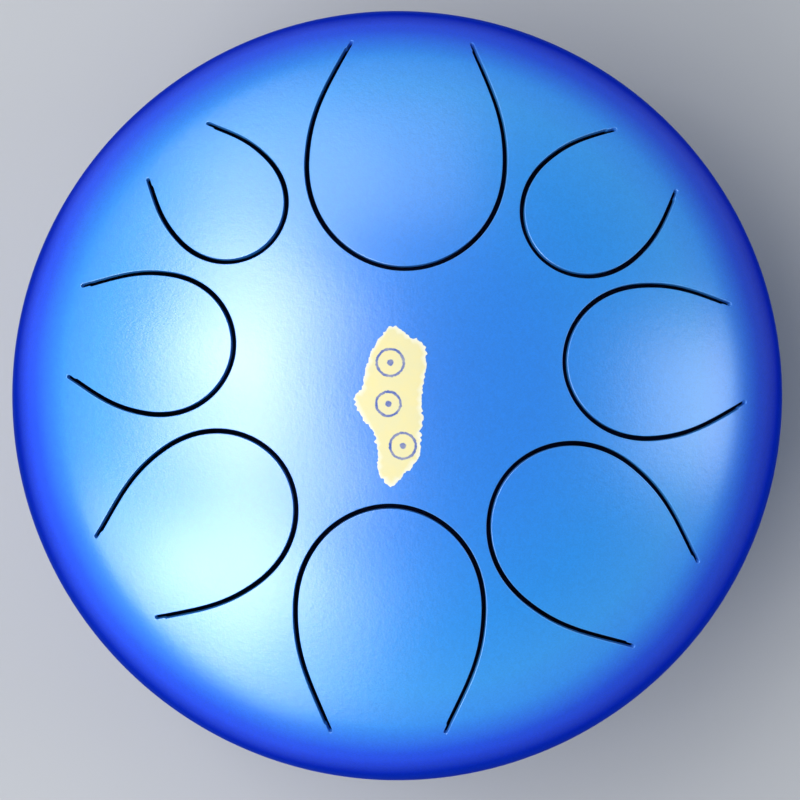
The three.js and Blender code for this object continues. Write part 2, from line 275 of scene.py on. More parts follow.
def slot_shape(spec):
    """The tongue's edge and the slot's far side in plan, in the drum's frame."""
    angle, tip, half, end_minus, end_plus, shift_minus, shift_plus = spec
    t = np.linspace(0, 1, 400)
    curve = np.vstack([bezier([[0, 0], [0, 0.4795], [0.3946, 1], [1.113, 1]], t),
                       bezier([[1.113, 1], [1.7078, 1], [1.9914, 0.7826], [2.6, 0.5555]], t)[1:]]) * half
    curve[:, 0] += tip

    def side(end, sign):
        c = curve[curve[:, 0] < end + 0.5] if end + 0.5 < curve[-1, 0] else curve
        c = c.copy()
        c[:, 1] *= sign
        # stop where the leg ends
        last = np.where(c[:, 0] > end)[0]
        if len(last):
            i = last[0]
            f = (end - c[i - 1, 0]) / (c[i, 0] - c[i - 1, 0])
            c = np.vstack([c[:i], c[i - 1] + f * (c[i] - c[i - 1])])
        return c

    minus, plus = side(end_minus, -1), side(end_plus, 1)
    line = np.vstack([minus[::-1], plus[1:]])          # from the -v leg's end by the tip to the +v leg's end
    d = np.concatenate([[0], np.cumsum(np.linalg.norm(np.diff(line, axis=0), axis=1))])
    total = d[-1]

    def at(s):
        return np.column_stack([np.interp(s, d, line[:, 0]), np.interp(s, d, line[:, 1])])

    tg = np.gradient(line, axis=0)
    tg /= np.linalg.norm(tg, axis=1)[:, None]
    # smooth the tangents a little, so that the offsets stay even
    kernel = np.hanning(15)[1:-1]
    kernel /= kernel.sum()
    tg = np.column_stack([np.convolve(np.pad(tg[:, i], 6, mode="edge"), kernel, "valid") for i in (0, 1)])
    tg /= np.linalg.norm(tg, axis=1)[:, None]
    out = np.column_stack([tg[:, 1], -tg[:, 0]])
    # going from -v round the tip to +v the tongue is on one side; make out point away from it
    centre = np.array([tip + half * 1.1, 0.0])
    if ((line[len(line) // 2] - centre) * out[len(line) // 2]).sum() < 0:
        out = -out

    def out_at(s):
        o = np.column_stack([np.interp(s, d, out[:, 0]), np.interp(s, d, out[:, 1])])
        return o / np.linalg.norm(o, axis=1)[:, None]

    def widths(s):
        a, b = s, total - s
        w = SLOT_END + (SLOT - SLOT_END) * np.minimum(smooth((a - 2.6) / 0.9), smooth((b - 2.6) / 0.9))
        o = shift_minus * (1 - smooth((a - 2.6) / 0.9)) + shift_plus * (1 - smooth((b - 2.6) / 0.9))
        return w, o

    def edge(s, sign):
        w, o = widths(s)
        return at(s) + out_at(s) * (o + sign * w)[:, None]

    dense = np.linspace(SLOT_END, total - SLOT_END, 4000)
    inner = edge(dense, -1)
    # the root line crosses the sheet a little before the shorter leg's end
    root_u = min(end_minus, end_plus) - 2.2
    mid = len(dense) // 2
    i0 = np.where(inner[:mid, 0] > root_u)[0][-1]
    i1 = mid + np.where(inner[mid:, 0] > root_u)[0][0]
    f0 = (inner[i0, 0] - root_u) / (inner[i0, 0] - inner[i0 + 1, 0])
    f1 = (root_u - inner[i1 - 1, 0]) / (inner[i1, 0] - inner[i1 - 1, 0])
    s0 = dense[i0] + f0 * (dense[i0 + 1] - dense[i0])
    s1 = dense[i1 - 1] + f1 * (dense[i1] - dense[i1 - 1])

    fine = np.concatenate([np.linspace(SLOT_END, 4.2, 24), np.linspace(4.2, total - 4.2, int(total / 0.9))[1:-1], np.linspace(total - 4.2, total - SLOT_END, 24)])
    s_all = np.unique(np.round(np.concatenate([fine, [s0, s1]]), 9))
    keep = np.ones(len(s_all), bool)
    for s in (s0, s1):                                 # no sample crowds a corner
        near = np.abs(s_all - s) < 0.07
        near[np.argmin(np.abs(s_all - s))] = False
        keep &= ~near
    s_all = s_all[keep]
    k0, k1 = int(np.argmin(np.abs(s_all - s0))), int(np.argmin(np.abs(s_all - s1)))
    inner, outer = edge(s_all, -1), edge(s_all, 1)

    def cap(s, towards):
        w, o = widths(np.array([s]))
        c = at(np.array([s]))[0] + out_at(np.array([s]))[0] * o[0]
        n = out_at(np.array([s]))[0]
        tdir = np.array([n[1], -n[0]])
        if (tdir * (line[-1] - line[-20] if towards > 0 else line[0] - line[20])).sum() < 0:
            tdir = -tdir
        a = np.linspace(-math.pi / 2, math.pi / 2, 11)[1:-1]
        return c + w[0] * (np.outer(np.cos(a), tdir) + np.outer(np.sin(a), n))

    cap_plus, cap_minus = cap(s_all[-1], 1), cap(s_all[0], -1)
    inner_out = out_at(s_all)
    # a more exact normal from the edge itself, for both pieces alike
    nrm = normals_of(inner)
    flip = np.sign((nrm * inner_out).sum(1))
    nrm *= flip[:, None]
    tongue = inner[k0 : k1 + 1]
    tongue_dir = nrm[k0 : k1 + 1]
    shell = np.vstack([inner[k1:], cap_plus, outer[::-1], cap_minus[::-1], inner[: k0 + 1]])
    sn = normals_of(shell)
    probe = len(inner[k1:]) + len(cap_plus) + len(outer) // 2
    if (sn[probe] * -out_at(np.array([total / 2]))[0]).sum() < 0:
        sn = -sn
    sn[0], sn[-1] = nrm[k1], nrm[k0]

    a = math.radians(angle)
    rot = np.array([[math.cos(a), math.sin(a)], [-math.sin(a), math.cos(a)]])
    c0, c1 = tongue[0] - tongue_dir[0] * BEVEL, tongue[-1] - tongue_dir[-1] * BEVEL
    steps = max(4, int(abs(c1[1] - c0[1]) / 3))
    part = np.linspace(0, 1, steps + 1)[1:-1, None]
    chord = c0 + (c1 - c0) * part                        # from the -v corner to the +v corner
    chord = chord + np.array([0.9, 0.0]) * part * (1 - part)     # bowed a little, so no three points are in line
    return {"tongue": tongue @ rot, "tongue_dir": tongue_dir @ rot, "shell": shell @ rot, "shell_dir": sn @ rot,
            "chord": chord @ rot, "root": np.array([root_u, 0.0]) @ rot, "tip": np.array([tip, 0.0]) @ rot, "end": max(end_minus, end_plus)}


SHAPES = {name: slot_shape(spec) for name, spec in TONGUES.items()}


def cut_edge(build, surface, walls, dirs, outer_ids, inner_ids, closed, mats, flip, bevel=BEVEL):
    """Fills a sheet's edge between the outer face's and the inner face's own points. Returns the point rows."""
    rows = rings_of(build, surface, walls, dirs, bevel)
    ids = [outer_ids]
    for pts, nn, e in rows[1:-1]:
        ids.append(build.add(pts, nn, e))
    ids.append(inner_ids)
    for i in range(len(ids) - 1):
        build.strip(ids[i], ids[i + 1], closed, mats[0] if i < 3 else mats[1], flip)
    return ids


def sheet_cap(build, rows_a, rows_b, outer_chord, inner_chord, mat, flip):
    """The face hidden inside the sheet where a tongue's root meets the bowl: rows_a and rows_b are the edge rows at its two corners."""
    top = [rows_a[0]] + outer_chord + [rows_b[0]]
    low = [rows_a[-1]] + inner_chord + [rows_b[-1]]
    build.strip(top, low, False, mat, flip)
    build.face(rows_a if flip else rows_a[::-1], mat)
    build.face(rows_b[::-1] if flip else rows_b, mat)


INNER_BEVEL = 0.12


def make_tongue(name, mats):
    g = SHAPES[name]
    b = Build()
    ring = g["tongue"] - g["tongue_dir"] * BEVEL
    chord = g["chord"][::-1]
    loop = np.vstack([ring, chord])
    pts, tri, ids = triangulate(loop, [], 3.6, 1.3)
    n = len(ring)
    top_p, top_n = crown(pts)
    top = b.add(top_p, top_n)
    inner_plan = pts.copy()
    inner_plan[ids[0][:n]] = g["tongue"] - g["tongue_dir"] * INNER_BEVEL
    low_p, low_n = crown(inner_plan, WALL)
    low = b.add(low_p, -low_n)
    for t in tri:
        b.face([top[i] for i in t], 0)
        b.face([low[i] for i in t[::-1]], 1)
    o_ids, i_ids = [top[i] for i in ids[0]], [low[i] for i in ids[0]]
    rows = cut_edge(b, crown, g["tongue"], g["tongue_dir"], o_ids[:n], i_ids[:n], False, (0, 1), orient(loop))
    ra, rb = [r[0] for r in rows], [r[-1] for r in rows]
    sheet_cap(b, rb, ra, o_ids[n:], i_ids[n:], 1, orient(loop))
    return b.mesh(name + "_blade", mats)


def orient(loop):
    """True where a loop runs anticlockwise."""
    x, y = loop[:, 0], loop[:, 1]
    return (x * np.roll(y, -1) - np.roll(x, -1) * y).sum() > 0


JOIN_ANGLE = math.radians(46.0)     # normal's slope where the shoulder's own rings begin
SIDES = 384


def make_top(mats):
    b = Build()
    r_join = SHOULDER_C + KNUCKLE * math.sin(JOIN_ANGLE)
    phi = np.arange(SIDES) * 2 * math.pi / SIDES
    outer = np.column_stack([np.cos(phi), np.sin(phi)]) * r_join
    holes, counts = [], []
    for g in SHAPES.values():
        ring = g["shell"] - g["shell_dir"] * BEVEL
        holes.append(np.vstack([ring, g["chord"]]))
        counts.append(len(ring))
    pts, tri, ids = triangulate(outer, holes, 3.8, 1.5)
    top_p, top_n = crown(pts)
    top = b.add(top_p, top_n)
    inner_plan = pts.copy()
    for g, loop, n in zip(SHAPES.values(), ids[1:], counts):
        inner_plan[loop[:n]] = g["shell"] - g["shell_dir"] * INNER_BEVEL
    low_p, low_n = crown(inner_plan, WALL)
    low = b.add(low_p, -low_n)
    for t in tri:
        b.face([top[i] for i in t], 0)
        b.face([low[i] for i in t[::-1]], 1)
    for g, loop, hole, n in zip(SHAPES.values(), ids[1:], holes, counts):
        o_ids, i_ids = [top[i] for i in loop], [low[i] for i in loop]
        turn = not orient(hole)
        rows = cut_edge(b, crown, g["shell"], g["shell_dir"], o_ids[:n], i_ids[:n], False, (0, 1), turn)
        ra, rb = [r[0] for r in rows], [r[-1] for r in rows]
        sheet_cap(b, rb, ra, o_ids[n:], i_ids[n:], 1, turn)
    # the shoulder and the straight rim, outside and inside
    steps = 16
    slopes = [JOIN_ANGLE + (math.pi / 2 - JOIN_ANGLE) * i / steps for i in range(1, steps + 1)]
    prev_o, prev_i = [top[i] for i in ids[0]], [low[i] for i in ids[0]]
    ray = np.column_stack([np.cos(phi), np.sin(phi)])

    def ring(r, z, nr, nz, edge=0.0):
        return b.add(np.column_stack([ray * r, np.full(SIDES, z)]), np.column_stack([ray * nr, np.full(SIDES, nz)]), edge)

    for a in slopes:
        s, c = math.sin(a), math.cos(a)
        o = ring(SHOULDER_C + KNUCKLE * s, SHOULDER_Z + KNUCKLE * c, s, c)
        i = ring(SHOULDER_C + (KNUCKLE - WALL) * s, SHOULDER_Z + (KNUCKLE - WALL) * c, -s, -c)
        b.strip(prev_o, o, True, 0, True)
        b.strip(prev_i, i, True, 1, False)
        prev_o, prev_i = o, i
    z1 = WELD_Z + 0.1
    o1, i1 = ring(R_OUT, z1 + 0.3, 1, 0), ring(R_OUT - WALL, z1 + 0.3, -1, 0)
    o2, i2 = ring(R_OUT - 0.3, z1, 0.3, -1), ring(R_OUT - WALL + 0.3, z1, -0.3, -1)
    b.strip(prev_o, o1, True, 0, True)
    b.strip(o1, o2, True, 0, True)
    b.strip(o2, i2, True, 1, True)
    b.strip(i2, i1, True, 1, True)
    b.strip(i1, prev_i, True, 1, True)
    return b.mesh("upper_bowl", mats)


def make_bottom(mats):
    b = Build()
    phi = np.arange(SIDES) * 2 * math.pi / SIDES
    ray = np.column_stack([np.cos(phi), np.sin(phi)])

    def ring(r, z, nr, nz):
        return b.add(np.column_stack([ray * r, np.full(SIDES, z)]), np.column_stack([ray * nr, np.full(SIDES, nz)]))

    # the flat base, with the sound hole and three screw holes
    sound = np.array(arc_points(0, 0, HOLE_R, 0, 2 * math.pi, 160)[:-1])
    hole_walls, hole_dirs = [sound], [-sound / HOLE_R]
    for deg in FEET:
        a = math.radians(deg)
        c = np.array([math.cos(a), math.sin(a)]) * FOOT_PITCH
        p = np.array(arc_points(0, 0, 2.3, 0, 2 * math.pi, 28)[:-1])
        hole_walls.append(c + p)
        hole_dirs.append(-p / 2.3)
    bevels = [0.5] + [0.15] * 3
    holes = [w - d * bv for w, d, bv in zip(hole_walls, hole_dirs, bevels)]
    pts, tri, ids = triangulate(ray * BASE_FLAT_R, holes, 5.0, 1.6)
    out_p, out_n = base_plane(pts)
    top = b.add(out_p, out_n)
    inner_plan = pts.copy()
    for w, d, loop in zip(hole_walls, hole_dirs, ids[1:]):
        inner_plan[loop] = w - d * INNER_BEVEL
    in_p, in_n = base_plane(inner_plan, WALL)
    low = b.add(in_p, -in_n)
    for t in tri:
        b.face([top[i] for i in t[::-1]], 0)
        b.face([low[i] for i in t], 1)
    for w, d, loop, bv in zip(hole_walls, hole_dirs, ids[1:], bevels):
        cut_edge(b, base_plane, w, d, [top[i] for i in loop], [low[i] for i in loop], True, (0, 1), orient(w), bv)
    # the side: a quarter of an ellipse up to the rim, offset inwards for the inner face
    prev_o, prev_i = [top[i] for i in ids[0]], [low[i] for i in ids[0]]
    steps = 40
    for k in range(1, steps + 1):
        a = math.pi / 2 * k / steps
        r, z = BASE_FLAT_R + 57 * math.sin(a), 82 - 73 * math.cos(a)
        nr, nz = math.sin(a) / 57, -math.cos(a) / 73
        q = math.hypot(nr, nz)
        nr, nz = nr / q, nz / q
        o = ring(r, z, nr, nz)
        i = ring(r - WALL * nr, z - WALL * nz, -nr, -nz)
        b.strip(prev_o, o, True, 0, False)
        b.strip(prev_i, i, True, 1, True)
        prev_o, prev_i = o, i
    z1 = WELD_Z - 0.1
    o1, i1 = ring(R_OUT, z1 - 0.3, 1, 0), ring(R_OUT - WALL, z1 - 0.3, -1, 0)
    o2, i2 = ring(R_OUT - 0.3, z1, 0.3, 1), ring(R_OUT - WALL + 0.3, z1, -0.3, 1)
    b.strip(prev_o, o1, True, 0, False)
    b.strip(o1, o2, True, 0, False)
    b.strip(o2, i2, True, 1, False)
    b.strip(i2, i1, True, 1, False)
    b.strip(i1, prev_i, True, 1, False)
    return b.mesh("lower_bowl", mats)


def make_weld(mats):
    """The weld bead: a low rounded ring with the even ripple of a machine weld."""
    b = Build()
    n = 1320
    phi = np.arange(n) * 2 * math.pi / n
    ray = np.column_stack([np.cos(phi), np.sin(phi)])
    turns = 330
    ripple = 0.5 + 0.5 * np.cos(phi * turns)
    wander = 0.10 * np.sin(phi * 7 + 0.6) + 0.06 * np.sin(phi * 23 + 1.9) + 0.05 * np.sin(phi * 41)
    rows = []
    cross = 9
    for j in range(cross + 1):
        a = -math.pi / 2 + math.pi * j / cross
        height = 1.25 + 0.05 * wander
        proud = (0.34 + 0.13 * ripple * max(0.0, math.cos(a)) + 0.03 * wander) * math.cos(a)
        z = WELD_Z + height * math.sin(a) + 0.12 * wander
        r = R_OUT - 0.12 + np.maximum(proud, 0.0)
        rows.append((r, z))
    ids = []
    for r, z in rows:
        p = np.column_stack([ray * r[:, None] if np.ndim(r) else ray * r, z if np.ndim(z) else np.full(n, z)])
        ids.append(b.add(p, [0, 0, 1]))
    back_hi = b.add(np.column_stack([ray * (R_OUT - 0.9), np.full(n, WELD_Z + 0.05)]), [0, 0, 1])
    back_lo = b.add(np.column_stack([ray * (R_OUT - 0.9), np.full(n, WELD_Z - 0.05)]), [0, 0, 1])
    loops = [back_lo] + ids + [back_hi]
    for k in range(len(loops)):
        b.strip(loops[k], loops[(k + 1) % len(loops)], True, 0, False)
    # true normals of the rippled faces
    p = np.array(b.p)
    nn = np.zeros_like(p)
    for f in b.f:
        q = p[f]
        fn = np.cross(q[2] - q[0], q[3] - q[1])
        for v in f:
            nn[v] += fn
    b.n = nn.tolist()
    return b.mesh("weld_bead", mats)


# ---------------------------------------------------------------- turned pieces
def lathe(b, profile, cx=0.0, cy=0.0, sides=64, mats=None, phase=0.0):
    """Turns a closed profile of (r, z) about a line at cx, cy. The profile runs anticlockwise in (r, z). Radius 0
    closes on the axis. Normals come from the neighbouring points, so the caller rounds sharp corners.
    """
    prof = np.array(profile, float)
    n = len(prof)
    nxt, prv = np.roll(prof, -1, 0), np.roll(prof, 1, 0)

    def unit(v):
        return v / np.maximum(np.linalg.norm(v, axis=1), 1e-9)[:, None]

    t = unit(unit(nxt - prof) + unit(prof - prv))
    nrm = np.column_stack([t[:, 1], -t[:, 0]])
    phi = np.arange(sides) * 2 * math.pi / sides + phase
    ray = np.column_stack([np.cos(phi), np.sin(phi)])
    ids = []
    for (r, z), (nr, nz) in zip(prof, nrm):
        if r < 1e-6:
            one = b.add([[cx, cy, z]], [[0, 0, 1 if nz > 0 else -1]])
            ids.append(one * sides)
        else:
            ids.append(b.add(np.column_stack([ray * r + [cx, cy], np.full(sides, z)]), np.column_stack([ray * nr, np.full(sides, nz)])))
    for k in range(n):
        j = (k + 1) % n
        if prof[k, 0] < 1e-6 and prof[j, 0] < 1e-6:
            continue
        b.strip(ids[k], ids[j], True, 0 if mats is None else mats[k], False)
    return ids


def rounded(points, radii, n=4):
    """A closed polygon with its corners rounded."""
    out = []
    count = len(points)
    for i, (p, r) in enumerate(zip(points, radii)):
        p = np.array(p, float)
        a, c = np.array(points[i - 1], float), np.array(points[(i + 1) % count], float)
        if r <= 0:
            out.append(tuple(p))
            continue
        u, v = (a - p) / np.linalg.norm(a - p), (c - p) / np.linalg.norm(c - p)
        half = math.acos(max(-1, min(1, float(u @ v)))) / 2
        d = min(r / math.tan(half), 0.48 * np.linalg.norm(a - p), 0.48 * np.linalg.norm(c - p))
        p0, p2 = p + u * d, p + v * d
        for k in range(n + 1):
            s = k / n
            out.append(tuple((1 - s) ** 2 * p0 + 2 * s * (1 - s) * p + s * s * p2))
    return out


def make_foot(name, cx, cy, mats):
    """A moulded rubber foot: a slightly barrelled cone with a lip at the top, a parting line, grip rings underneath and a recess for the washer."""
    b = Build()
    pts = [(2.5, 4.2), (5.2, 4.2), (5.2, 0.5), (5.6, 0.0),
           (6.5, 0.0), (6.7, 0.35), (7.0, 0.35), (7.2, 0.0), (7.9, 0.0), (8.1, 0.35), (8.4, 0.35), (8.6, 0.0),
           (9.5, 0.0), (10.15, 4.1), (10.32, 4.25), (10.32, 4.45), (10.2, 4.6), (10.7, 7.2), (11.0, 7.4), (11.0, 8.7), (2.5, 8.7)]
    rad = [0.15, 0.3, 0.15, 0.2, 0.1, 0.08, 0.08, 0.1, 0.1, 0.08, 0.08, 0.1, 0.9, 0.1, 0.06, 0.06, 0.1, 0.2, 0.15, 0.3, 0.15]
    lathe(b, [(r, z) for r, z in rounded(pts, rad)], cx, cy, 72)
    return b.mesh(name, mats)


def make_washer(name, cx, cy, z0, mats):
    b = Build()
    pts = [(2.3, z0), (4.7, z0), (4.7, z0 + 0.8), (2.3, z0 + 0.8)]
    lathe(b, rounded(pts, [0.1, 0.12, 0.22, 0.1], 3), cx, cy, 56)
    return b.mesh(name, mats)


def make_nut(name, cx, cy, z0, z1, turn, mats):
    """A hexagonal nut with its corners turned off by a cone at both faces."""
    b = Build()
    n = 96
    phi = np.arange(n) * 2 * math.pi / n + turn
    ray = np.column_stack([np.cos(phi), np.sin(phi)])
    local = (phi - turn + math.pi / 6) % (math.pi / 3) - math.pi / 6
    hexr = 3.5 / np.cos(local)
    hexn = np.column_stack([np.cos(turn + np.round((phi - turn) / (math.pi / 3)) * math.pi / 3), np.sin(turn + np.round((phi - turn) / (math.pi / 3)) * math.pi / 3)])
    drop = np.maximum(hexr - 3.42, 0) * math.tan(math.radians(28))

    def row(r, z, nr, nz):
        r = np.broadcast_to(r, n)
        z = np.broadcast_to(z, n)
        return b.add(np.column_stack([ray * r[:, None] + [cx, cy], z]), np.column_stack([ray * nr, np.full(n, nz)]))

    def hexrow(z, nz=0.0, w=0.0):
        p = np.column_stack([ray * hexr[:, None] + [cx, cy], np.broadcast_to(z, n)])
        return b.add(p, np.column_stack([hexn * (1 - w) + ray * w, np.full(n, nz)]))

    rows = [row(2.1, z0 + 0.35, -1, 0), row(2.12, z0 + 0.3, -0.7, -0.7), row(2.45, z0, -0.5, -1), row(3.3, z0, 0, -1), row(3.42, z0, 0.25, -1),
            hexrow(z0 + drop, -1, 0.5), hexrow(z0 + drop + 0.05), hexrow(z1 - drop - 0.05), hexrow(z1 - drop, 1, 0.5),
            row(3.42, z1, 0.25, 1), row(3.3, z1, 0, 1), row(2.45, z1, -0.5, 1), row(2.12, z1 - 0.3, -0.7, 0.7), row(2.1, z1 - 0.35, -1, 0)]
    for k in range(len(rows)):
        b.strip(rows[k], rows[(k + 1) % len(rows)], True, 0, False)
    return b.mesh(name, mats)


def make_screw(name, cx, cy, turn, mats):
    """A pan head screw, head down: a domed head with a cross recess, and a rolled thread on the shank."""
    b = Build()
    head_r, head_h, z_head = 3.9, 2.4, 3.1          # head from z = 0.7 up to 3.1, under the washer
    z_low = z_head - head_h
    sides = 72
    radii = np.concatenate([np.linspace(0, 2.4, 25), np.linspace(2.4, 3.9, 12)[1:]])
    phi = np.arange(sides) * 2 * math.pi / sides + turn
    prev = None
    rows = []
    for r in radii:
        x, y = r * np.cos(phi - turn), r * np.sin(phi - turn)
        dome = z_low + 0.9 * (r / head_r) ** 2.6 + (0.55 if r > 3.86 else 0.0)
        arm = np.minimum(np.abs(x), np.abs(y))
        reach = np.maximum(np.abs(x), np.abs(y))
        depth = 1.35 * (1 - smooth((arm - 0.34) / 0.16)) * (1 - smooth((reach - 1.75) / 0.3)) * (1 - 0.35 * np.clip(reach / 2.0, 0, 1))
        depth = np.maximum(depth, 1.35 * (1 - smooth((np.hypot(x, y) - 0.62) / 0.3)))
        z = dome + depth
        if r == 0:
            rows.append(b.add([[cx, cy, float(z[0])]], [[0, 0, -1]]) * sides)
        else:
            rows.append(b.add(np.column_stack([cx + r * np.cos(phi), cy + r * np.sin(phi), z]), [0, 0, -1]))
    for a, c in zip(rows, rows[1:]):
        b.strip(a, c, True, 0, False)
    # side of the head, its underside, then the shank with its thread
    ray = np.column_stack([np.cos(phi), np.sin(phi)])

    def row(r, z, nr, nz):
        r = np.broadcast_to(np.asarray(r, float), sides)
        z = np.broadcast_to(np.asarray(z, float), sides)
        return b.add(np.column_stack([cx + ray[:, 0] * r, cy + ray[:, 1] * r, z]), np.column_stack([ray * nr, np.full(sides, nz)]))

    tail = [row(3.9, z_head - 0.25, 1, 0), row(3.82, z_head - 0.05, 0.7, 0.7), row(3.7, z_head, 0, 1), row(2.2, z_head, 0, 1), row(2.0, z_head + 0.2, 0.7, 0.3)]
    pitch, z, k = 0.7, z_head + 0.9, 0
    turns = int((15.3 - z) / pitch * 8)
    for k in range(turns + 1):
        zz = z + k * pitch / 8
        wave = 0.5 + 0.5 * np.cos(2 * math.pi * (zz / pitch) - phi)
        fade = min(1.0, k / 8, (turns - k) / 4)
        tail.append(row(1.99 - 0.42 * fade * wave ** 0.8, zz, 1, 0))
    tail += [row(1.6, 15.9, 0.5, 0.7), row(1.3, 16.0, 0, 1)]
    chain = [rows[-1]] + tail
    for a, c in zip(chain, chain[1:]):
        b.strip(a, c, True, 0, False)
    end = b.add([[cx, cy, 16.0]], [[0, 0, 1]]) * sides
    b.strip(tail[-1], end, True, 0, False)
    # true normals
    p = np.array(b.p)
    nn = np.zeros_like(p)
    for f in b.f:
        q = p[f]
        fn = np.cross(q[1] - q[0], q[2] - q[0]) if len(f) == 3 else np.cross(q[2] - q[0], q[3] - q[1])
        for v in f:
            nn[v] += fn
    b.n = nn.tolist()
    return b.mesh(name, mats)


# ---------------------------------------------------------------- the decal
def value_noise(seed, count):
    """A closed ring of smooth random numbers."""
    rng = np.random.default_rng(seed)
    return rng.uniform(-1, 1, count)


def ring_noise(t, count, seed):
    v = value_noise(seed, count)
    x = t * count
    i = np.floor(x).astype(int)
    f = smooth(x - i)
    return v[i % count] * (1 - f) + v[(i + 1) % count] * f


DECAL_C = np.array([-1.4, -6.5])
DECAL_TURN = math.radians(-2.0)


def decal_outline():
    """A ragged, torn-edged upright patch of no particular picture: wide at the upper right, waisted at the lower left."""
    key = np.array([(1.4, -24.6), (4.3, -23.2), (6.1, -20.6), (8.4, -18.3), (9.7, -15.6), (10.6, -10.3), (10.1, -6.8), (10.2, -3.0),
                    (9.9, 2.0), (9.7, 6.4), (10.4, 12.2), (10.1, 16.1), (9.0, 19.1), (6.6, 20.8), (4.3, 21.4), (2.0, 23.2), (-0.3, 24.4),
                    (-3.0, 23.0), (-4.8, 20.4), (-6.4, 17.0), (-7.6, 13.4), (-8.6, 9.0), (-9.1, 5.0), (-10.9, 1.0), (-9.3, -3.2),
                    (-6.0, -7.0), (-4.0, -9.9), (-3.2, -13.7), (-2.7, -17.6), (-1.6, -21.4)], float)
    n = len(key)
    pts = []
    for i in range(n):                                # Catmull-Rom through the key points
        p0, p1, p2, p3 = key[i - 1], key[i], key[(i + 1) % n], key[(i + 2) % n]
        for k in range(40):
            t = k / 40
            pts.append(0.5 * (2 * p1 + (p2 - p0) * t + (2 * p0 - 5 * p1 + 4 * p2 - p3) * t * t + (3 * p1 - p0 - 3 * p2 + p3) * t ** 3))
    pts = np.array(pts)
    seg = np.linalg.norm(np.roll(pts, -1, 0) - pts, axis=1)
    d = np.concatenate([[0], np.cumsum(seg)])
    m = 760
    s = np.linspace(0, d[-1], m, endpoint=False)
    loop = np.column_stack([np.interp(s, d, np.append(pts[:, 0], pts[0, 0])), np.interp(s, d, np.append(pts[:, 1], pts[0, 1]))])
    t = s / d[-1]
    nrm = normals_of(np.vstack([loop[-2:], loop, loop[:2]]))[2:-2]
    rag = 0.25 * ring_noise(t, 38, 11) + 0.34 * ring_noise(t, 124, 5) + 0.2 * ring_noise(t, 230, 8)
    return loop + nrm * rag[:, None] - nrm * 0.15


def make_decal(mats):
    b = Build()
    loop = decal_outline()
    c, s = math.cos(DECAL_TURN), math.sin(DECAL_TURN)
    loop = loop @ np.array([[c, s], [-s, c]]) + DECAL_C
    if not orient(loop):
        loop = loop[::-1]
    pts, tri, ids = triangulate(loop, [], 1.6, 0.6)
    thick = 0.09
    low_p, low_n = crown(pts, -0.012)
    # the film's upper edge is a little inside its foot and rolls down to it
    dist = np.full(len(pts), 10.0)
    edge = np.array(sorted(set(ids[0])))
    for i in range(0, len(edge), 200):
        dd = np.linalg.norm(pts[:, None, :] - pts[edge[i : i + 200]][None], axis=2).min(1)
        dist = np.minimum(dist, dd)
    h = 0.012 + thick * (0.55 + 0.45 * smooth(dist / 0.5))
    top_p, top_n = crown(pts, -h)
    top = b.add(top_p, top_n)
    low = b.add(low_p, -low_n)
    for k, i in enumerate(ids[0]):
        b.e[top[i]] = 1.0
    for t in tri:
        b.face([top[i] for i in t], 0)
        b.face([low[i] for i in t[::-1]], 0)
    b.strip([top[i] for i in ids[0]], [low[i] for i in ids[0]], True, 0, True)
    return b.mesh("decal_film", mats)


# ---------------------------------------------------------------- materials
def srgb(r, g, b):
    out = []
    for c in (r, g, b):
        c /= 255
        out.append(c / 12.92 if c <= 0.04045 else ((c + 0.055) / 1.055) ** 2.4)
    return (*out, 1.0)


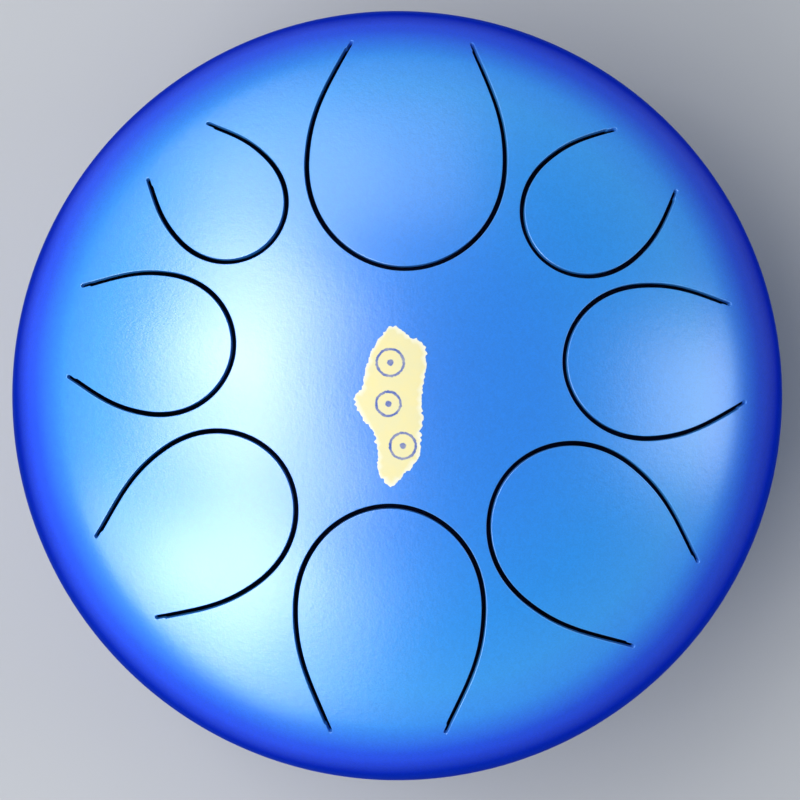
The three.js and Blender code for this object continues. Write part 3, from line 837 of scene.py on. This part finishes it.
class Nodes:
    """A small helper round one material's node tree."""

    def __init__(self, name):
        self.mat = bpy.data.materials.new(name)
        self.mat.use_nodes = True
        self.t = self.mat.node_tree
        self.t.nodes.clear()
        self.out = self.t.nodes.new("ShaderNodeOutputMaterial")
        self.bsdf = self.t.nodes.new("ShaderNodeBsdfPrincipled")
        self.t.links.new(self.bsdf.outputs["BSDF"], self.out.inputs["Surface"])
        self.co = self.t.nodes.new("ShaderNodeTexCoord").outputs["Object"]

    def link(self, a, b):
        self.t.links.new(a, b)

    def set(self, node, **values):
        for key, value in values.items():
            socket = node.inputs[key.replace("_", " ")]
            if hasattr(value, "is_linked") or isinstance(value, bpy.types.NodeSocket):
                self.link(value, socket)
            else:
                socket.default_value = value
        return node

    def noise(self, scale, detail=2.0, roughness=0.5, distortion=0.0, co=None):
        n = self.t.nodes.new("ShaderNodeTexNoise")
        self.link(co if co is not None else self.co, n.inputs["Vector"])
        n.inputs["Scale"].default_value = scale
        n.inputs["Detail"].default_value = detail
        n.inputs["Roughness"].default_value = roughness
        n.inputs["Distortion"].default_value = distortion
        return n.outputs["Fac"]

    def voronoi(self, scale, feature="F1", output="Distance", randomness=1.0):
        n = self.t.nodes.new("ShaderNodeTexVoronoi")
        n.feature = feature
        self.link(self.co, n.inputs["Vector"])
        n.inputs["Scale"].default_value = scale
        n.inputs["Randomness"].default_value = randomness
        return n.outputs[output]

    def math(self, op, a, b=None, clamp=False):
        n = self.t.nodes.new("ShaderNodeMath")
        n.operation = op
        n.use_clamp = clamp
        for i, v in enumerate((a, b)):
            if v is None:
                continue
            if isinstance(v, (int, float)):
                n.inputs[i].default_value = v
            else:
                self.link(v, n.inputs[i])
        return n.outputs[0]

    def vec(self, op, a, b=None, out=0):
        n = self.t.nodes.new("ShaderNodeVectorMath")
        n.operation = op
        for i, v in enumerate((a, b)):
            if v is None:
                continue
            if isinstance(v, (tuple, list)):
                n.inputs[i].default_value = v
            else:
                self.link(v, n.inputs[i])
        return n.outputs[out]

    def remap(self, v, a, b, c=0.0, d=1.0, smoothstep=False):
        n = self.t.nodes.new("ShaderNodeMapRange")
        if smoothstep:
            n.interpolation_type = "SMOOTHSTEP"
        self.link(v, n.inputs["Value"])
        for key, value in (("From Min", a), ("From Max", b), ("To Min", c), ("To Max", d)):
            n.inputs[key].default_value = value
        return n.outputs["Result"]

    def ramp(self, v, stops, mode="LINEAR"):
        n = self.t.nodes.new("ShaderNodeValToRGB")
        n.color_ramp.interpolation = mode
        while len(n.color_ramp.elements) < len(stops):
            n.color_ramp.elements.new(0.5)
        for e, (pos, colour) in zip(n.color_ramp.elements, stops):
            e.position = pos
            e.color = colour
        self.link(v, n.inputs["Fac"])
        return n.outputs["Color"]

    def mix(self, fac, a, b, mode="MIX"):
        n = self.t.nodes.new("ShaderNodeMix")
        n.data_type = "RGBA"
        n.blend_type = mode
        for key, v in (("Factor", fac), ("A", a), ("B", b)):
            sockets = [s for s in n.inputs if s.name == key and s.enabled]
            s = [q for q in n.inputs if q.name == key and q.type == ("VALUE" if key == "Factor" else "RGBA")][0]
            if isinstance(v, (int, float)):
                s.default_value = v
            elif isinstance(v, (tuple, list)):
                s.default_value = v
            else:
                self.link(v, s)
        return [q for q in n.outputs if q.type == "RGBA"][0]

    def attribute(self, name):
        n = self.t.nodes.new("ShaderNodeAttribute")
        n.attribute_name = name
        return n.outputs["Fac"]

    def bump(self, height, distance, strength=1.0, normal=None):
        n = self.t.nodes.new("ShaderNodeBump")
        n.inputs["Strength"].default_value = strength
        n.inputs["Distance"].default_value = distance
        self.link(height, n.inputs["Height"])
        if normal is not None:
            self.link(normal, n.inputs["Normal"])
        return n.outputs["Normal"]

    def plan_distance(self, x, y):
        """Distance in plan from a point, in metres."""
        return self.vec("LENGTH", self.vec("MULTIPLY", self.vec("SUBTRACT", self.co, (x, y, 0.0)), (1.0, 1.0, 0.0)), out=1)


def paint_material(name, stops):
    """Satin lacquer over a blue base that is lighter in the middle and deeper to the shoulder, with fine flakes and an
    orange peel. The radial base colour holds painted light and shade: it is lighter where the crown is lit and darker
    in bands at the shoulder and rim, where the drum turns from the light. The cut's rounded edge gets a painted
    highlight. Towards the shoulder the clear coat thins out and the metallic base coat shows.
    """
    k = Nodes(name)
    r = k.math("DIVIDE", k.plan_distance(0, 0), 0.127)
    cloud = k.remap(k.noise(9.0, 2.0), 0.3, 0.7, -0.008, 0.008)
    radius = k.math("ADD", r, cloud)
    # the radial base colour, with painted light and shade in it
    base = k.ramp(radius, stops)
    flakes = k.voronoi(2600.0, output="Color")
    sep = k.t.nodes.new("ShaderNodeSeparateColor")
    k.link(flakes, sep.inputs[0])
    glint = k.remap(sep.outputs[0], 0.0, 1.0, 0.93, 1.07)
    mottled = k.remap(k.noise(420.0, 3.0, 0.6), 0.3, 0.7, 0.975, 1.025)
    level = k.math("MULTIPLY", glint, mottled)
    tone = k.t.nodes.new("ShaderNodeCombineColor")
    for i in range(3):
        k.link(level, tone.inputs[i])
    colour = k.mix(1.0, base, tone.outputs[0], "MULTIPLY")
    # the cut's rounded edge is painted paler: a painted highlight along the slot and hole edges
    edge = k.remap(k.attribute("cut_edge"), 0.15, 1.0, 0.0, 0.35)
    wear_and_painted_highlight = k.mix(edge, colour, srgb(110, 170, 225))
    k.link(wear_and_painted_highlight, k.bsdf.inputs["Base Color"])
    k.link(k.remap(radius, 0.925, 0.975, METAL_CROWN, METAL_RIM, True), k.bsdf.inputs["Metallic"])
    rough_map = k.math("ADD", k.remap(k.noise(60.0, 3.0), 0.3, 0.7, 0.385, 0.415), k.remap(sep.outputs[1], 0.0, 1.0, -0.03, 0.03))
    k.link(rough_map, k.bsdf.inputs["Roughness"])
    k.bsdf.inputs["IOR"].default_value = 1.4
    k.bsdf.inputs["Specular Tint"].default_value = (0.10, 0.18, 0.70, 1.0)
    k.link(k.remap(radius, 0.78, 0.95, 1.0, 0.0, True), k.bsdf.inputs["Coat Weight"])
    k.bsdf.inputs["Coat Roughness"].default_value = 0.28
    k.bsdf.inputs["Coat IOR"].default_value = 2.15
    peel = k.bump(k.noise(520.0, 2.0, 0.5), 0.00006, 0.5)
    grit = k.bump(k.voronoi(1500.0), 0.00003, 0.4, peel)
    k.link(grit, k.bsdf.inputs["Normal"])
    k.link(grit, k.bsdf.inputs["Coat Normal"])
    return k.mat


METAL_CROWN, METAL_RIM = 0.14, 1.0
# Radial base colours from the centre (0) to the rim (1), fitted against the lighting. They hold painted light and
# shade: lighter over the lit crown, with darker bands at the shoulder and rim.
PAINT_LIGHT_AND_SHADE_STOPS = [
    (0.0, (0.001, 0.170, 0.68, 1)),
    (0.35, (0.001, 0.204, 0.73, 1)),
    (0.6, (0.003, 0.260, 0.77, 1)),
    (0.75, (0.022, 0.305, 0.80, 1)),
    (0.83, (0.025, 0.268, 0.81, 1)),
    (0.88, (0.025, 0.161, 0.79, 1)),
    (0.91, (0.013, 0.086, 0.77, 1)),
    (0.94, (0.008, 0.060, 0.77, 1)),
    (0.965, (0.015, 0.088, 0.84, 1)),
    (0.985, (0.040, 0.130, 0.74, 1)),
    (1.0, (0.032, 0.095, 0.62, 1)),
]


def interior_material():
    """Inside of the bowls: bare steel under a thin uneven dusting of dark blue overspray."""
    k = Nodes("overspray_steel")
    mist = k.remap(k.noise(26.0, 5.0, 0.65), 0.25, 0.75, 0.0, 1.0)
    col = k.mix(mist, srgb(16, 34, 96), srgb(30, 52, 120))
    k.link(col, k.bsdf.inputs["Base Color"])
    k.bsdf.inputs["Metallic"].default_value = 0.35
    k.link(k.remap(k.noise(180.0, 3.0), 0.3, 0.7, 0.5, 0.68), k.bsdf.inputs["Roughness"])
    k.link(k.bump(k.noise(700.0, 3.0), 0.00005, 0.5), k.bsdf.inputs["Normal"])
    return k.mat


def vinyl_material():
    """Cream gold film, faintly mottled, with three printed ring-and-dot marks in blue."""
    k = Nodes("cream_vinyl")
    cloud = k.remap(k.noise(190.0, 4.0, 0.6), 0.3, 0.7, 0.0, 1.0)
    col = k.mix(cloud, (0.76, 0.66, 0.31, 1), (0.71, 0.65, 0.36, 1))
    edge = k.remap(k.attribute("cut_edge"), 0.0, 1.0, 0.0, 0.85)
    col = k.mix(edge, col, (0.78, 0.76, 0.66, 1))
    ink = None
    for x, y, rad in ((-1.8, 6.6, 4.1), (-1.9, -6.0, 3.7), (3.0, -18.6, 3.9)):
        d = k.plan_distance(x * MM, y * MM)
        wear_and_painted_highlight = k.math("MULTIPLY", k.remap(k.noise(900.0, 3.0, 0.6), 0.3, 0.7, -0.16, 0.16), MM)
        line = k.math("ABSOLUTE", k.math("SUBTRACT", k.math("ADD", d, wear_and_painted_highlight), rad * MM))
        ring = k.remap(line, 0.30 * MM, 0.46 * MM, 1.0, 0.0)
        dot = k.remap(k.math("ADD", d, wear_and_painted_highlight), 0.85 * MM, 1.05 * MM, 1.0, 0.0)
        mark = k.math("MAXIMUM", ring, dot)
        ink = mark if ink is None else k.math("MAXIMUM", ink, mark)
    rub = k.remap(k.noise(330.0, 3.0, 0.6), 0.32, 0.62, 0.65, 1.0)
    col = k.mix(k.math("MULTIPLY", ink, rub), col, (0.03, 0.085, 0.38, 1))
    k.link(col, k.bsdf.inputs["Base Color"])
    k.link(k.remap(k.noise(420.0, 2.0), 0.3, 0.7, 0.42, 0.56), k.bsdf.inputs["Roughness"])
    k.link(k.bump(k.noise(650.0, 3.0), 0.00004, 0.5), k.bsdf.inputs["Normal"])
    return k.mat


def rubber_material():
    k = Nodes("foot_rubber")
    dust = k.remap(k.noise(160.0, 5.0, 0.7), 0.42, 0.75, 0.0, 0.5)
    col = k.mix(dust, srgb(24, 24, 25), srgb(62, 61, 60))
    k.link(col, k.bsdf.inputs["Base Color"])
    k.link(k.remap(k.noise(300.0, 3.0), 0.3, 0.7, 0.7, 0.88), k.bsdf.inputs["Roughness"])
    k.bsdf.inputs["Specular IOR Level"].default_value = 0.35
    fine = k.bump(k.noise(1700.0, 3.0, 0.6), 0.00005, 0.6)
    k.link(k.bump(k.voronoi(900.0), 0.00004, 0.5, fine), k.bsdf.inputs["Normal"])
    return k.mat


def zinc_material(name, tint):
    k = Nodes(name)
    spangle = k.remap(k.noise(800.0, 4.0, 0.6), 0.3, 0.7, 0.0, 1.0)
    col = k.mix(spangle, srgb(*tint), srgb(*[min(255, c + 26) for c in tint]))
    k.link(col, k.bsdf.inputs["Base Color"])
    k.bsdf.inputs["Metallic"].default_value = 1.0
    k.link(k.remap(k.noise(500.0, 4.0), 0.3, 0.7, 0.22, 0.42), k.bsdf.inputs["Roughness"])
    k.link(k.bump(k.noise(1500.0, 3.0), 0.00002, 0.5), k.bsdf.inputs["Normal"])
    return k.mat


def floor_material():
    k = Nodes("studio_floor")
    col = k.mix(k.remap(k.noise(3.0, 2.0), 0.3, 0.7, 0.0, 1.0), srgb(176, 176, 177), srgb(181, 181, 181))
    k.link(col, k.bsdf.inputs["Base Color"])
    k.bsdf.inputs["Roughness"].default_value = 0.85
    k.bsdf.inputs["Specular IOR Level"].default_value = 0.2
    return k.mat


paint = paint_material("blue_lacquer_and_painted_light", PAINT_LIGHT_AND_SHADE_STOPS)
inner = interior_material()
vinyl = vinyl_material()
rubber = rubber_material()
zinc = zinc_material("zinc_plate", (176, 178, 182))
zinc_nut = zinc_material("zinc_nut", (158, 160, 166))


# ---------------------------------------------------------------- the pieces
def place(ob, body, node):
    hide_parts(node)
    if body:
        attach(ob, body)
    return ob


place(make_top([paint, inner]), "drum", "top_shell")
place(make_bottom([paint, inner]), "drum", "bottom_shell")
place(make_weld([paint]), "drum", "equator_weld")
place(make_decal([vinyl]), "drum", "crown_decal")

for name, g in SHAPES.items():
    blade = place(make_tongue(name, [paint, inner]), None, name)
    z = float(crown(g["root"])[0][0][2])
    start = Vector((*g["root"], z)) * MM
    tip = Vector((*g["tip"], z)) * MM
    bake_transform(blade)

for i, deg in enumerate(FEET, 1):
    a = math.radians(deg)
    x, y = FOOT_PITCH * math.cos(a), FOOT_PITCH * math.sin(a)
    place(make_foot(f"rubber_foot_{i}", x, y, [rubber]), "drum", f"foot_{i}")
    lo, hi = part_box(f"foot_washer_{i}")
    place(make_washer(f"plated_washer_{i}", x, y, lo.z / MM, [zinc]), "drum", f"foot_washer_{i}")
    lo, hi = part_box(f"foot_nut_{i}")
    place(make_nut(f"hex_nut_{i}", x, y, lo.z / MM, hi.z / MM, math.radians((17, 52, 33)[i - 1]), [zinc_nut]), "drum", f"foot_nut_{i}")
    place(make_screw(f"cross_screw_{i}", x, y, math.radians((12, 71, 40)[i - 1]), [zinc]), "drum", f"foot_screw_{i}")

# ---------------------------------------------------------------- floor, light and camera
floor_mesh = bpy.data.meshes.new("studio_floor")
half = 2.2
floor_mesh.from_pydata([(-half, -half, 0), (half, -half, 0), (half, half, 0), (-half, half, 0)], [], [(0, 1, 2, 3)])
floor_mesh.materials.append(floor_material())
floor = bpy.data.objects.new("studio_floor", floor_mesh)
bpy.context.scene.collection.objects.link(floor)

PHOTO_TURN = math.radians(2.1)      # the drum stands turned by this much against the camera's upright


def turned_view(x, y):
    c, s = math.cos(PHOTO_TURN), math.sin(PHOTO_TURN)
    return x * c - y * s, x * s + y * c


def softbox(name, azimuth, zenith, distance, size_x, size_y, power, colour=(1, 1, 1)):
    """A rectangular soft light aimed at the drum. azimuth and zenith are seen from the camera's upright."""
    a, z = math.radians(azimuth) + PHOTO_TURN, math.radians(zenith)
    d = Vector((math.sin(z) * math.cos(a), math.sin(z) * math.sin(a), math.cos(z)))
    light = bpy.data.lights.new(name, "AREA")
    light.shape = "RECTANGLE"
    light.size, light.size_y = size_x, size_y
    light.energy = power
    light.color = colour
    ob = bpy.data.objects.new(name, light)
    ob.location = Vector((0, 0, 0.1)) + d * distance
    ob.rotation_euler = d.to_track_quat("Z", "Y").to_euler()
    bpy.context.scene.collection.objects.link(ob)
    return ob


# soft panels: a wide bank at the left, a strip at the right
for name, azimuth, zenith, power in (
    ("panel_0_52", 0, 52, 1.74), ("panel_0_62", 0, 62, 0.87), ("panel_90_42", 90, 42, 1.11),
    ("panel_112_42", 112, 42, 0.87), ("panel_120_52", 120, 52, 0.87), ("panel_135_42", 135, 42, 1.6),
    ("panel_150_22", 150, 22, 2.69), ("panel_150_32", 150, 32, 3.84), ("panel_180_32", 180, 32, 4.57),
    ("panel_210_22", 210, 22, 3.48), ("panel_210_52", 210, 52, 2.3), ("panel_225_42", 225, 42, 5.48),
    ("panel_240_32", 240, 32, 0.55), ("panel_240_62", 240, 62, 1.44), ("panel_247_42", 247, 42, 1.66),
):
    softbox(name, azimuth, zenith, 1.5, 0.6, 0.6, power)

# The world is a weak fill, and pale where it is seen.
world = bpy.data.worlds.new("studio")
world.use_nodes = True
tree = world.node_tree
bg = tree.nodes["Background"]
bg.inputs["Color"].default_value = (0.48, 0.64, 0.84, 1)
bg.inputs["Strength"].default_value = 0.35
backdrop = tree.nodes.new("ShaderNodeBackground")
backdrop.inputs["Color"].default_value = (0.60, 0.61, 0.63, 1)
seen = tree.nodes.new("ShaderNodeLightPath")
either = tree.nodes.new("ShaderNodeMixShader")
tree.links.new(seen.outputs["Is Camera Ray"], either.inputs[0])
tree.links.new(bg.outputs[0], either.inputs[1])
tree.links.new(backdrop.outputs[0], either.inputs[2])
tree.links.new(either.outputs[0], tree.nodes["World Output"].inputs["Surface"])
bpy.context.scene.world = world

view = bpy.context.scene.view_settings
view.view_transform = "Standard"
view.look = "None"
view.exposure = 0.0

# The camera looks down at the knuckle's height from 0.7 m, a little to one side.
lean_x, lean_y = 0.0077, -0.0475
lx, ly = turned_view(lean_x, lean_y)
back = Vector((lx, ly, math.sqrt(1 - lx * lx - ly * ly)))
target = Vector((0, 0, SHOULDER_Z * MM))
ux, uy = turned_view(0.0, 1.0)
right = Vector((uy, -ux, 0.0))
up = back.cross(Vector((*turned_view(1.0, 0.0), 0.0))).normalized()
side = up.cross(back).normalized()
turn = Matrix((side, up, back)).transposed().to_4x4()
cam_data = bpy.data.cameras.new("camera")
cam_data.sensor_width = 36.0
cam_data.lens = 2111.6 / 800 * 36.0
cam_data.shift_x = (400 - 396.8) / 800
cam_data.shift_y = -(400 - 393.3) / 800
cam = bpy.data.objects.new("camera", cam_data)
cam.matrix_world = Matrix.Translation(target + back * 0.7) @ turn
bpy.context.scene.collection.objects.link(cam)
bpy.context.scene.camera = cam
